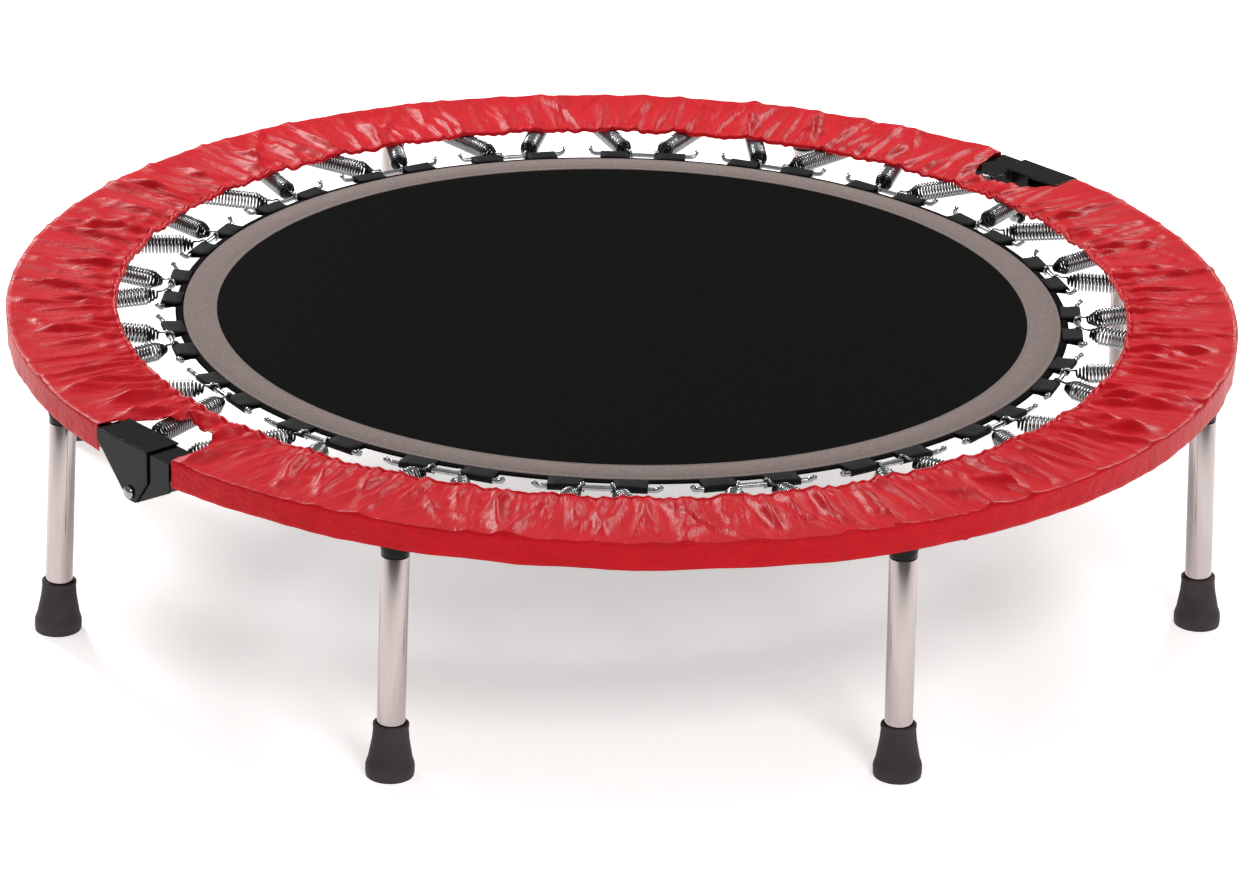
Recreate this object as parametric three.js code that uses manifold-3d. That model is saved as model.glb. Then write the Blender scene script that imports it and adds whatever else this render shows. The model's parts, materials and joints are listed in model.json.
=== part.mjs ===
// Mini trampoline that folds in half: round tube frame in two hinged halves, eight screw-on legs,
// a jumping mat hung on twenty pairs of springs, and a fabric spring cover.
// Millimetres, +Z up. The origin is on the floor under the centre, and the halves fold about X.
import * as THREE from "three";
import { mergeVertices } from "three/addons/utils/BufferGeometryUtils.js";
import Module from "manifold-3d";

const wasm = await Module();
wasm.setup();
const { Manifold, Mesh } = wasm;

// Frame
const TUBE_R = 593.5;           // centre line of the frame tube, in plan
const TUBE_D = 25.4;
const TUBE_WALL = 1.6;
const TUBE_Z = 234;             // height of the frame tube's centre line
const CLEAR = 0.3;              // gap kept between pieces that touch
const HALF_GAP = 0.6;           // gap between the two halves along the fold line
const RING_SEGMENTS = 80;
const TUBE_SIDES = 12;

// Legs
const LEG_ANGLES = [28, 73, 118, 165];   // degrees round each half, from its end of the fold line
const LEG_SPLAY = 2.5;          // degrees outward
const LEG_D = 26;
const LEG_WALL = 1.5;
const STUB_DROP = 20;           // from the tube's centre line to the stub's lower end, along the leg
const STUD_D = 10;
const STUD_LENGTH = 44;
const NUT_DEPTH = 22;           // threaded insert pressed in the leg's upper end
const LEG_SIDES = 12;

// Feet
const FOOT_HEIGHT = 51;
const FOOT_TOP_D = 33;
const FOOT_BOTTOM_D = 45;
const FOOT_FLOOR = 9;           // rubber under the leg tube
const FOOT_SKIRT = 12;          // upright part above the sole
const FOOT_SIDES = 20;

// Mat and springs
const ANCHORS = 20;
const ANCHOR_PHASE = 9;         // degrees from +X to the first link rod
const SPRING_REACH = 139.5;     // from the link rods out to the tube's centre line
const ROD_D = 5;
const ROD_LENGTH = 114;
const TAB_REACH = 10;           // from the mat's edge to the rods
const MAT_THICK = 2.4;
const MAT_RISE = 4;             // mat's top above the tube's centre line
const BORDER_SETBACK = 8;       // from the mat's edge in to the border tape
const BORDER_WIDTH = 33;
const BORDER_THICK = 1;
const TAB_WIDTH = 32;           // webbing tabs, two to each rod
const TAB_OFFSET = 30;          // tab's middle from the rod's middle
const SPRING_OFFSET = 13.5;     // spring's eye from the rod's middle
const SPRING_SPREAD = 6.8;      // degrees between the anchor and each frame hook
const COIL_D = 20;
const WIRE_D = 3;
const EYE_LENGTH = 13;          // straight hook at each end of a coil
const COIL_TAPER = 8;
const SPRING_SIDES = 8;

// Spring cover
const COVER_WIDTH = 107;        // from the skirt in to the elastic hem
const COVER_THICK = 5;
const COVER_EASE = 1.1;         // room between the frame and the skirt
const COVER_SKIRT = 26;
const COVER_CLOTH = 2.4;
const NOTCH_DEPTH = 75;         // the cover is cut in this far over each hinge
const NOTCH_EASE = 2;           // room round the hinge brackets

// Hinges
const PIVOT_DROP = 31;          // from the tube's centre line down to the pivot bolt
const BOLT_D = 8;
const BOLT_HEAD_D = 13;
const BOLT_HEAD = 4.5;
const BOLT_END = 1.5;           // thread beyond the nut
const NUT_THICK = 6.5;
const PLATE = 2;
const OUTER_BACK = 50;          // outer bracket's reach over its own half
const OUTER_FRONT = 27;         // and over the other half
const INNER_REACH = 57;         // inner bracket's reach over its own half
const EAR_HALF = 13;            // half width of the ears on the mat's side
const BRACKET_TIP = 8.5;        // steel left around the bolt
const PLATE_DROP = 14;          // side plates' reach below the tube's centre line, away from the bolt

// Worked out from the sizes above
const ROD_R = TUBE_R - SPRING_REACH;
const MAT_R = ROD_R - TAB_REACH;
const MAT_TOP = TUBE_Z + MAT_RISE;
const SPRING_Z = MAT_TOP - MAT_THICK / 2;
const PIVOT_Z = TUBE_Z - PIVOT_DROP;
const SKIRT_IN_R = TUBE_R + Math.max(TUBE_D, LEG_D) / 2 + COVER_EASE;
const COVER_R = SKIRT_IN_R + COVER_CLOTH;
const COVER_UNDER = Math.max(TUBE_Z + TUBE_D / 2, SPRING_Z + COIL_D / 2) + CLEAR;
const COVER_TOP = COVER_UNDER + COVER_THICK;

const rad = THREE.MathUtils.degToRad;
const shared = {
  black: { color: 0x1d1c1d, roughness: 0.35, metalness: 0.4 },
  chrome: { color: 0xcfc8c6, roughness: 0.12, metalness: 1.0 },
  steel: { color: 0xb9b7b5, roughness: 0.3, metalness: 1.0 },
  rubber: { color: 0x3a3233, roughness: 0.85, metalness: 0.0 },
  mat: { color: 0x1f1d1c, roughness: 0.9, metalness: 0.0 },
  border: { color: 0x867975, roughness: 0.9, metalness: 0.0 },
  cover: { color: 0xd92b37, roughness: 0.6, metalness: 0.0 },
};
const materials = Object.fromEntries(
  Object.entries(shared).map(([name, look]) => [name, new THREE.MeshStandardMaterial(look)]),
);

// A three.js geometry as a solid, with its faces turned outward
function solid(geometry) {
  const bare = geometry.clone();
  for (const name of ["normal", "uv"]) bare.deleteAttribute(name);
  const merged = mergeVertices(bare, 1e-4);
  const places = Float32Array.from(merged.attributes.position.array);
  const faces = Uint32Array.from(merged.index.array);
  if (signedVolume(places, faces) < 0) {
    for (let i = 0; i < faces.length; i += 3) [faces[i], faces[i + 1]] = [faces[i + 1], faces[i]];
  }
  return new Manifold(new Mesh({ numProp: 3, vertProperties: places, triVerts: faces }));
}

function signedVolume(places, faces) {
  const corner = (i) => new THREE.Vector3().fromArray(places, 3 * faces[i]);
  let sum = 0;
  for (let i = 0; i < faces.length; i += 3) {
    sum += corner(i).dot(corner(i + 1).cross(corner(i + 2)));
  }
  return sum;
}

function geometryOf(body) {
  const mesh = body.getMesh();
  const geometry = new THREE.BufferGeometry();
  geometry.setAttribute("position", new THREE.BufferAttribute(new Float32Array(mesh.vertProperties), 3));
  geometry.setIndex(new THREE.BufferAttribute(new Uint32Array(mesh.triVerts), 1));
  return geometry;
}

// A closed outline of [radius, height] points swept right round the Z axis
function ring(outline) {
  const points = [...outline, outline[0]].map(([r, z]) => new THREE.Vector2(r, z));
  const geometry = new THREE.LatheGeometry(points, RING_SEGMENTS);
  geometry.rotateX(Math.PI / 2);
  geometry.rotateZ(Math.PI / RING_SEGMENTS);
  return solid(geometry);
}

// Turned about its own axis, from [radius, height] points that start and end on the axis
function turned(outline, sides) {
  const geometry = new THREE.LatheGeometry(outline.map(([r, z]) => new THREE.Vector2(r, z)), sides);
  geometry.rotateX(Math.PI / 2);
  return solid(geometry);
}

function box(lengths, centre) {
  const geometry = new THREE.BoxGeometry(...lengths);
  geometry.translate(...centre);
  return solid(geometry);
}

// A flat outline of [x, y] points, thickened upward from z = base
function slab(outline, thickness, base) {
  const shape = new THREE.Shape(outline.map(([x, y]) => new THREE.Vector2(x, y)));
  const geometry = new THREE.ExtrudeGeometry(shape, { depth: thickness, bevelEnabled: false });
  geometry.translate(0, 0, base);
  return solid(geometry);
}

// A plate across the X axis: a [y, z] outline, thickened from x = start towards +X
function sidePlate(outline, start) {
  const shape = new THREE.Shape(outline.map(([y, z]) => new THREE.Vector2(y, z)));
  const geometry = new THREE.ExtrudeGeometry(shape, { depth: PLATE, bevelEnabled: false });
  geometry.rotateX(Math.PI / 2);
  geometry.rotateZ(Math.PI / 2);
  geometry.translate(start, 0, 0);
  return solid(geometry);
}

// The half of a ring on one side of the fold line; side is +1 for the rear half, -1 for the front
function halfOf(body, side) {
  const reach = 2 * COVER_R;
  const middle = side * (HALF_GAP / 2 + reach / 2);
  return body.intersect(box([2 * reach, reach, reach], [0, middle, 0]));
}

const anchorAngles = (side) => {
  const step = 360 / ANCHORS;
  const all = Array.from({ length: ANCHORS }, (_, i) => ANCHOR_PHASE + step * i);
  return all.filter((angle) => Math.sign(Math.sin(rad(angle))) === side);
};

const legAngles = [0, 180].flatMap((start) => LEG_ANGLES.map((angle) => start + angle));

// From the leg's own axis, with z measured up from the tube's centre line, to its place
function legMatrix(angle) {
  const place = new THREE.Matrix4().makeTranslation(TUBE_R, 0, TUBE_Z);
  const splay = new THREE.Matrix4().makeRotationY(-rad(LEG_SPLAY));
  return new THREE.Matrix4().makeRotationZ(rad(angle)).multiply(place).multiply(splay);
}

const moved = (body, matrix) => body.transform(matrix.elements);

// Frame

function circle(r, z, radius, sides) {
  return Array.from({ length: sides }, (_, i) => {
    const turn = (2 * Math.PI * (i + 0.5)) / sides;
    return [r + radius * Math.cos(turn), z + radius * Math.sin(turn)];
  });
}

function legStub() {
  const outer = LEG_D / 2;
  const stud = STUD_D / 2;
  return turned([[0, 0], [outer, 0], [outer, -STUB_DROP], [stud, -STUB_DROP],
    [stud, -STUB_DROP - STUD_LENGTH], [0, -STUB_DROP - STUD_LENGTH]].reverse(), LEG_SIDES);
}

function frameHalf(side) {
  const outside = ring(circle(TUBE_R, TUBE_Z, TUBE_D / 2, TUBE_SIDES));
  const inside = ring(circle(TUBE_R, TUBE_Z, TUBE_D / 2 - TUBE_WALL, TUBE_SIDES));
  let tube = halfOf(outside, side);
  for (const angle of legAngles.filter((a) => Math.sign(Math.sin(rad(a))) === side)) {
    tube = tube.add(moved(legStub(), legMatrix(angle)));
  }
  return tube.subtract(inside);
}

// Legs and feet

const soleAlong = TUBE_Z / Math.cos(rad(LEG_SPLAY));    // tube centre line to the floor, along the leg
const legTop = -STUB_DROP - CLEAR;
const legEnd = -(soleAlong - FOOT_FLOOR);

function legTube() {
  const outer = LEG_D / 2;
  const inner = outer - LEG_WALL;
  const thread = STUD_D / 2 + CLEAR;
  const insert = legTop - NUT_DEPTH;
  const profile = [[thread, legTop], [outer, legTop], [outer, legEnd], [inner, legEnd],
    [inner, insert], [thread, insert]];
  const points = [...profile, profile[0]].map(([r, z]) => new THREE.Vector2(r, z));
  const geometry = new THREE.LatheGeometry(points, LEG_SIDES);
  geometry.rotateX(Math.PI / 2);
  return solid(geometry);
}

function rubberFoot(angle) {
  const top = -(soleAlong - FOOT_HEIGHT);
  const sole = -(soleAlong + FOOT_BOTTOM_D * Math.tan(rad(LEG_SPLAY)));
  const hole = LEG_D / 2 + CLEAR;
  const seat = legEnd - CLEAR;
  const skirt = -(soleAlong - FOOT_SKIRT);
  const foot = turned([[0, sole], [FOOT_BOTTOM_D / 2, sole], [FOOT_BOTTOM_D / 2, skirt],
    [FOOT_BOTTOM_D / 2 - 2.5, skirt + 3], [FOOT_TOP_D / 2 + 0.5, top - 10], [FOOT_TOP_D / 2, top],
    [hole, top], [hole, seat], [0, seat]], FOOT_SIDES);
  const placed = moved(foot, legMatrix(angle));
  const above = 2 * FOOT_HEIGHT;
  const footprint = 4 * COVER_R;
  return placed.intersect(box([footprint, footprint, above], [0, 0, above / 2]));
}

// Hinges: built at +X with the outer bracket on the side of -Y, and turned half round for -X

const channelInside = TUBE_R + TUBE_D / 2 + CLEAR;
const sag = TUBE_R - TUBE_D / 2 - Math.sqrt((TUBE_R - TUBE_D / 2) ** 2 - INNER_REACH ** 2);
const innerNear = TUBE_R - TUBE_D / 2 - sag - CLEAR - PLATE;
const outerNear = innerNear - CLEAR - PLATE;
const innerTop = TUBE_Z + TUBE_D / 2 + CLEAR;
const outerTop = innerTop + PLATE + CLEAR;
const outerFar = channelInside + PLATE + CLEAR;

const boltHole = () => turnedAlongX(BOLT_D / 2 + CLEAR, outerNear - 50, outerFar + 50);

function turnedAlongX(radius, from, to, sides = 12) {
  const geometry = new THREE.CylinderGeometry(radius, radius, to - from, sides);
  geometry.rotateZ(Math.PI / 2);
  geometry.translate((from + to) / 2, 0, PIVOT_Z);
  return solid(geometry);
}

// Side plate of the outer bracket: wide at the top, narrow round the bolt
function outerPlateOutline(back, front) {
  return [[-back, outerTop + PLATE], [-back, TUBE_Z + TUBE_D / 4], [-BRACKET_TIP, PIVOT_Z - BRACKET_TIP / 2],
    [-BRACKET_TIP / 2, PIVOT_Z - BRACKET_TIP], [BRACKET_TIP, PIVOT_Z - BRACKET_TIP],
    [front, TUBE_Z - PLATE_DROP], [front, outerTop + PLATE]];
}

function outerBracket() {
  const far = sidePlate(outerPlateOutline(OUTER_BACK, OUTER_FRONT), outerFar);
  const near = sidePlate(outerPlateOutline(EAR_HALF, EAR_HALF), outerNear);
  const width = outerFar + PLATE - outerNear;
  const length = OUTER_BACK + OUTER_FRONT;
  const middle = (OUTER_FRONT - OUTER_BACK) / 2;
  const top = box([width, length, PLATE], [outerNear + width / 2, middle, outerTop + PLATE / 2]);
  const padLength = OUTER_BACK - EAR_HALF;
  const padHeight = outerTop - innerTop;
  const pad = box([TUBE_D / 2, padLength, padHeight + 0.1],
    [TUBE_R, -EAR_HALF - padLength / 2, innerTop + padHeight / 2 + 0.05]);
  return far.add(near).add(top).add(pad).subtract(boltHole());
}

function innerPlateOutline(reach) {
  return [[HALF_GAP, innerTop + PLATE], [HALF_GAP, TUBE_Z - TUBE_D / 2], [-BRACKET_TIP, PIVOT_Z + 2],
    [-BRACKET_TIP, PIVOT_Z - BRACKET_TIP / 2], [-BRACKET_TIP / 2, PIVOT_Z - BRACKET_TIP],
    [BRACKET_TIP, PIVOT_Z - BRACKET_TIP], [reach, TUBE_Z - PLATE_DROP], [reach, innerTop + PLATE]];
}

function innerBracket() {
  const far = sidePlate(innerPlateOutline(INNER_REACH), channelInside);
  const near = sidePlate(innerPlateOutline(INNER_REACH), innerNear);
  const width = channelInside + PLATE - innerNear;
  const length = INNER_REACH - HALF_GAP;
  const top = box([width, length, PLATE],
    [innerNear + width / 2, HALF_GAP + length / 2, innerTop + PLATE / 2]);
  return far.add(near).add(top).subtract(boltHole());
}

const headSeat = outerFar + PLATE + CLEAR;
const nutSeat = outerNear - CLEAR;

function hingeBolt() {
  const shank = turnedAlongX(BOLT_D / 2, nutSeat - NUT_THICK - BOLT_END, headSeat + 0.5);
  return shank.add(turnedAlongX(BOLT_HEAD_D / 2, headSeat, headSeat + BOLT_HEAD, 16));
}

function hingeNut() {
  return turnedAlongX(BOLT_HEAD_D / 2, nutSeat - NUT_THICK, nutSeat, 6).subtract(boltHole());
}

// Mat

// Half a disc with the webbing tabs that reach out to the link rods
function matHalf(side) {
  const tabEnd = ROD_R - ROD_D / 2 - CLEAR;
  const disc = new THREE.CylinderGeometry(MAT_R, MAT_R, MAT_THICK, RING_SEGMENTS);
  disc.rotateX(Math.PI / 2);
  disc.rotateZ(Math.PI / RING_SEGMENTS);
  disc.translate(0, 0, MAT_TOP - MAT_THICK / 2);
  let mat = halfOf(solid(disc), side);
  const length = tabEnd - MAT_R + 8;
  for (const angle of anchorAngles(side)) {
    for (const offset of [-TAB_OFFSET, TAB_OFFSET]) {
      const tab = box([length, TAB_WIDTH, MAT_THICK], [tabEnd - length / 2, offset, MAT_TOP - MAT_THICK / 2]);
      mat = mat.add(moved(tab, new THREE.Matrix4().makeRotationZ(rad(angle))));
    }
  }
  return mat;
}

function borderHalf(side) {
  const low = MAT_TOP + CLEAR;
  const high = low + BORDER_THICK;
  const outer = MAT_R - BORDER_SETBACK;
  const inner = outer - BORDER_WIDTH;
  return halfOf(ring([[inner, low], [outer, low], [outer, high], [inner, high]]), side);
}

// Springs

// Hooks end at the frame tube, or at the inner bracket's plate next to a hinge
function hookRadius(angle) {
  const along = Math.abs(Math.sin(rad(angle))) * TUBE_R;
  const face = (TUBE_R - TUBE_D / 2) * Math.cos(Math.PI / RING_SEGMENTS) - CLEAR;
  const side = Math.sign(Math.sin(rad(angle))) * Math.sign(Math.cos(rad(angle)));
  const onInnerBracket = along < INNER_REACH + WIRE_D && side > 0;
  return onInnerBracket ? Math.hypot(innerNear - CLEAR - WIRE_D / 4, along) : face;
}

function coil(length) {
  const wire = WIRE_D / 2;
  const body = COIL_D / 2;
  const high = length - EYE_LENGTH;
  return turned([[0, 0], [wire, 0], [wire, EYE_LENGTH], [body, EYE_LENGTH + COIL_TAPER],
    [body, high - COIL_TAPER], [wire, high], [wire, length], [0, length]], SPRING_SIDES);
}

function springPair(angle) {
  const turn = new THREE.Matrix4().makeRotationZ(rad(angle));
  const rodGeometry = new THREE.CylinderGeometry(ROD_D / 2, ROD_D / 2, ROD_LENGTH, SPRING_SIDES);
  rodGeometry.translate(ROD_R, 0, SPRING_Z);
  let pair = moved(solid(rodGeometry), turn);
  for (const spread of [-1, 1]) {
    const eye = new THREE.Vector3(ROD_R, spread * SPRING_OFFSET, SPRING_Z).applyMatrix4(turn);
    const hookAngle = angle + spread * SPRING_SPREAD;
    const r = hookRadius(hookAngle);
    const hook = new THREE.Vector3(r * Math.cos(rad(hookAngle)), r * Math.sin(rad(hookAngle)), SPRING_Z);
    const run = hook.clone().sub(eye);
    const aim = new THREE.Quaternion().setFromUnitVectors(new THREE.Vector3(0, 0, 1), run.clone().normalize());
    const place = new THREE.Matrix4().compose(eye, aim, new THREE.Vector3(1, 1, 1));
    pair = pair.add(moved(coil(run.length()), place));
  }
  return pair;
}

// Spring cover

function coverHalf(side) {
  const skirtLow = COVER_TOP - COVER_SKIRT;
  const inner = COVER_R - COVER_WIDTH;
  const outline = [[inner, COVER_UNDER], [SKIRT_IN_R, COVER_UNDER], [SKIRT_IN_R, skirtLow],
    [COVER_R, skirtLow], [COVER_R, COVER_TOP], [inner, COVER_TOP]];
  const low = -OUTER_BACK - NOTCH_EASE;
  const high = INNER_REACH + NOTCH_EASE;
  const depth = 2 * NOTCH_DEPTH;
  const cut = box([depth, high - low, COVER_TOP], [COVER_R, (low + high) / 2, COVER_TOP]);
  const otherCut = moved(cut, new THREE.Matrix4().makeRotationZ(Math.PI));
  return halfOf(ring(outline), side).subtract(cut).subtract(otherCut);
}

// Assembly

const trampoline = new THREE.Group();

function place(name, body, material) {
  const mesh = new THREE.Mesh(geometryOf(body), material);
  mesh.name = name;
  trampoline.add(mesh);
}

for (const [half, side] of [["rear", 1], ["front", -1]]) {
  place(`frame_tube_${half}`, frameHalf(side), materials.black);
  place(`mat_${half}`, matHalf(side), materials.mat);
  place(`mat_border_${half}`, borderHalf(side), materials.border);
  place(`cover_${half}`, coverHalf(side), materials.cover);
}

for (const [end, turn] of [["right", 0], ["left", Math.PI]]) {
  const matrix = new THREE.Matrix4().makeRotationZ(turn);
  place(`hinge_outer_${end}`, moved(outerBracket(), matrix), materials.black);
  place(`hinge_inner_${end}`, moved(innerBracket(), matrix), materials.black);
  place(`hinge_bolt_${end}`, moved(hingeBolt(), matrix), materials.steel);
  place(`hinge_nut_${end}`, moved(hingeNut(), matrix), materials.steel);
}

legAngles.forEach((angle, i) => {
  place(`leg_${i + 1}`, moved(legTube(), legMatrix(angle)), materials.chrome);
  place(`foot_${i + 1}`, rubberFoot(angle), materials.rubber);
});

for (let i = 0; i < ANCHORS; i++) {
  const angle = ANCHOR_PHASE + (360 / ANCHORS) * i;
  place(`spring_pair_${String(i + 1).padStart(2, "0")}`, springPair(angle), materials.chrome);
}

export default trampoline;
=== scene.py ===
"""The looks of a folding mini trampoline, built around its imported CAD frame."""
import json
import math
import random

import bmesh
import bpy
import numpy as np
from bpy.props import FloatProperty, FloatVectorProperty, IntProperty, PointerProperty
from mathutils import Matrix, Vector, noise


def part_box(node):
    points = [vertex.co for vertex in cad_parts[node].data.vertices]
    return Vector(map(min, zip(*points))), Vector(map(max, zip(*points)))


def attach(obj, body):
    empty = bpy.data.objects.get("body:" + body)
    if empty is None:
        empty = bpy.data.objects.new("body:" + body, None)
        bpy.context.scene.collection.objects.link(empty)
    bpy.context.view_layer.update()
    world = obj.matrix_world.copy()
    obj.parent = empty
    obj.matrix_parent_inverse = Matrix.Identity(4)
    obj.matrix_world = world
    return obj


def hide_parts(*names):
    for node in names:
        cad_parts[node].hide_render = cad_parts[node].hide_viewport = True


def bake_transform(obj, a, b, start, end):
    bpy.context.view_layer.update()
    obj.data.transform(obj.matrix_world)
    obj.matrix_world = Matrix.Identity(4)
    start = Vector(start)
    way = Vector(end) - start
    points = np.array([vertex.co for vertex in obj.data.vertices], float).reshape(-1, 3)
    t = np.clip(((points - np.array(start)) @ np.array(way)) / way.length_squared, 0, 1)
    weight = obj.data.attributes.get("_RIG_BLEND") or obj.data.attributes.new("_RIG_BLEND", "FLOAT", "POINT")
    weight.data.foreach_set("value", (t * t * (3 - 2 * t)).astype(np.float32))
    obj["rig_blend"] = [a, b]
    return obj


bl_info = {
    "name": "Mini Trampoline",
    "version": (1, 0, 0),
    "blender": (4, 5, 0),
    "location": "View3D > Sidebar > Trampoline",
    "description": "Builds the cloth, springs, tubes and rubber of a folding mini trampoline",
    "category": "Object",
}

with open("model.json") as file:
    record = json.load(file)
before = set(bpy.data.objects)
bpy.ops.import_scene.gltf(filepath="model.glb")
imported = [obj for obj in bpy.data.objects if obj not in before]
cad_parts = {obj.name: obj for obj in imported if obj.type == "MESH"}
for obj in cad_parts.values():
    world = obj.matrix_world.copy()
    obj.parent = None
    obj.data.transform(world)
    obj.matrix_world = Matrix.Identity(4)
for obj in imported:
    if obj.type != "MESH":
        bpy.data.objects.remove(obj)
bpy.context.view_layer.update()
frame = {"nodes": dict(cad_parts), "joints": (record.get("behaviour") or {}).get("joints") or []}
NODES = frame["nodes"]
MM = 0.001
WELD = 1e-6         # vertices nearer than this become one

# The CAD's rings have 80 flats, so a box across the flats is this share of the real diameter.
ACROSS_FLATS = math.cos(math.pi / 80)
REAR, FRONT = "rear_half", "front_half"
HINGE = next(joint for joint in frame["joints"] if joint["name"] == "fold")
PIVOT = Vector(HINGE["pos_m"])
LEGS = [name for name in NODES if name.startswith("leg_")]
ANCHORS = len([name for name in NODES if name.startswith("spring_pair")])


# ---------------------------------------------------------------- sizes and colours

def across(node):
    """Radius of a ring node, taken from its box."""
    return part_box(node)[1].y / ACROSS_FLATS


class TrampolineSizes(bpy.types.PropertyGroup):
    """The sizes that a user would change; those the frame sets start from the frame."""

    cover_radius: FloatProperty(
        name="Cover radius", description="Outside of the spring cover's skirt",
        default=across("cover_rear"), unit="LENGTH")
    cover_inner: FloatProperty(
        name="Cover opening", description="Radius of the elastic inner hem",
        default=503 * MM, unit="LENGTH")
    tube_diameter: FloatProperty(
        name="Frame tube", description="Diameter of the frame tube", default=25.4 * MM, unit="LENGTH")
    mat_radius: FloatProperty(
        name="Mat radius", description="Edge of the mat between its tabs", default=444 * MM, unit="LENGTH")
    border_inner: FloatProperty(
        name="Border inside", description="Inner radius of the border tape",
        default=403 * MM, unit="LENGTH")
    rod_radius: FloatProperty(
        name="Rod circle", description="Distance of the link rods from the centre",
        default=454 * MM, unit="LENGTH")
    coil_diameter: FloatProperty(
        name="Coil", description="Outer diameter of a spring", default=20 * MM, unit="LENGTH")
    coil_turns: IntProperty(name="Turns", description="Turns of wire in one spring", default=30)


def hex_rgb(code):
    """An sRGB hex colour as linear red, green, blue."""
    parts = [int(code[i:i + 2], 16) / 255 for i in (0, 2, 4)]
    return tuple(c / 12.92 if c <= 0.04045 else ((c + 0.055) / 1.055) ** 2.4 for c in parts)


def colour(name, code, words):
    return FloatVectorProperty(
        name=name, description=words, subtype="COLOR", size=3, min=0, max=1, default=hex_rgb(code))


class TrampolineColours(bpy.types.PropertyGroup):
    """The colours that a user would change."""

    cover: colour("Cover", "C60C1A", "Nylon of the spring cover")
    mat: colour("Mat", "080807", "Woven jumping mat")
    border: colour("Border", "837672", "Border tape")
    webbing: colour("Webbing", "100F0F", "Tabs at the mat's edge")
    coat: colour("Powder coat", "0C0A09", "Frame and hinges")
    chrome: colour("Chrome", "BBB0AE", "Legs")
    wire: colour("Spring wire", "A9AAAD", "Springs and link rods")
    rubber: colour("Rubber", "3A3133", "Feet")


def sizes():
    return bpy.context.scene.trampoline_sizes


def colours():
    return bpy.context.scene.trampoline_colours


# ---------------------------------------------------------------- materials

def node(tree, kind, links=(), **settings):
    """Adds one node. Settings are its properties, or inputs when they name one."""
    made = tree.nodes.new(kind)
    for key, value in settings.items():
        if hasattr(made, key):
            setattr(made, key, value)
        else:
            made.inputs[key.replace("_", " ")].default_value = value
    for socket, source in links:
        tree.links.new(source, made.inputs[socket])
    return made


def start_material(name, base, **inputs):
    """A material whose shader has this base colour and these values on its inputs."""
    material = bpy.data.materials.new(name)
    material.use_nodes = True
    shader = material.node_tree.nodes["Principled BSDF"]
    shader.inputs["Base Color"].default_value = (*base, 1)
    for key, value in inputs.items():
        shader.inputs[key.replace("_", " ")].default_value = value
    return material, material.node_tree, shader


def shade(base, factor):
    return tuple(min(1, c * factor) for c in base)


def object_place(tree):
    return node(tree, "ShaderNodeTexCoord").outputs["Object"]


def clouds(tree, place, scale, detail, **settings):
    """A noise texture; returns its value."""
    return node(tree, "ShaderNodeTexNoise", [("Vector", place)], Scale=scale, Detail=detail,
                **settings).outputs["Fac"]


def crossed_threads(tree, place, scale, operation, **settings):
    """Two sets of bands at right angles, put together by one operation."""
    both = node(tree, "ShaderNodeMath", operation=operation)
    for socket, direction in enumerate("XY"):
        bands = node(tree, "ShaderNodeTexWave", [("Vector", place)], bands_direction=direction,
                     Scale=scale, **settings)
        tree.links.new(bands.outputs["Fac"], both.inputs[socket])
    return both.outputs[0]


def ramp(tree, source, low, high, first, second):
    """Blends between two colours as the source goes from low to high."""
    made = node(tree, "ShaderNodeValToRGB", [("Fac", source)])
    for element, position, colour_there in zip(made.color_ramp.elements, (low, high), (first, second)):
        element.position = position
        element.color = (*colour_there, 1)
    return made.outputs["Color"]


def vary_colour(tree, shader, *blend):
    """Lets a ramp set the base colour."""
    tree.links.new(ramp(tree, *blend), shader.inputs["Base Color"])


def vary_roughness(tree, shader, source, low, high):
    rough = node(tree, "ShaderNodeMapRange", [("Value", source)], To_Min=low, To_Max=high)
    tree.links.new(rough.outputs["Result"], shader.inputs["Roughness"])


def bump(tree, shader, height, strength, distance):
    made = node(tree, "ShaderNodeBump", [("Height", height)], Strength=strength, Distance=distance)
    tree.links.new(made.outputs["Normal"], shader.inputs["Normal"])


def woven_nylon():
    """Plain-weave nylon taffeta with a light coating: silky highlights on each fold."""
    base = tuple(colours().cover)
    material, tree, shader = start_material(
        "woven_nylon", base, Roughness=0.4, Specular_IOR_Level=0.12, Sheen_Weight=0.06,
        Sheen_Roughness=0.4, Sheen_Tint=(1, 0.6, 0.6, 1))
    # The textures follow the cut strip, in metres along the rim and across the width
    strip = node(tree, "ShaderNodeUVMap", uv_map="strip").outputs["UV"]
    drawn = node(tree, "ShaderNodeMapping", [("Vector", strip)], Scale=(95, 26, 1)).outputs["Vector"]
    vary_colour(tree, shader, clouds(tree, drawn, 0.5, 4), 0.3, 0.72, shade(base, 0.88), shade(base, 1.06))
    # Threads are 0.4 mm apart; they are drawn 3 mm apart so that the weave shows
    weave = crossed_threads(tree, strip, 105, "ADD", Distortion=0.3)
    creases = clouds(tree, drawn, 1.3, 5, Distortion=0.8)
    total = node(tree, "ShaderNodeMath", operation="MULTIPLY_ADD")
    tree.links.new(weave, total.inputs[0])
    total.inputs[1].default_value = 0.03
    tree.links.new(creases, total.inputs[2])
    bump(tree, shader, total.outputs[0], 0.5, 3 * MM)
    return material


def woven_mat():
    """Woven polypropylene sheet: flat matte strands with a faint grid of light."""
    base = tuple(colours().mat)
    material, tree, shader = start_material(
        "woven_polypropylene", base, Roughness=0.8, Specular_IOR_Level=0.02)
    place = object_place(tree)
    vary_colour(tree, shader, clouds(tree, place, 260, 5), 0.35, 0.8, shade(base, 0.7), shade(base, 1.9))
    # Strands are 1.2 mm wide; they are drawn 5 mm apart so that the weave shows
    bump(tree, shader, crossed_threads(tree, place, 62, "MAXIMUM"), 0.5, 0.6 * MM)
    return material


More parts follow.
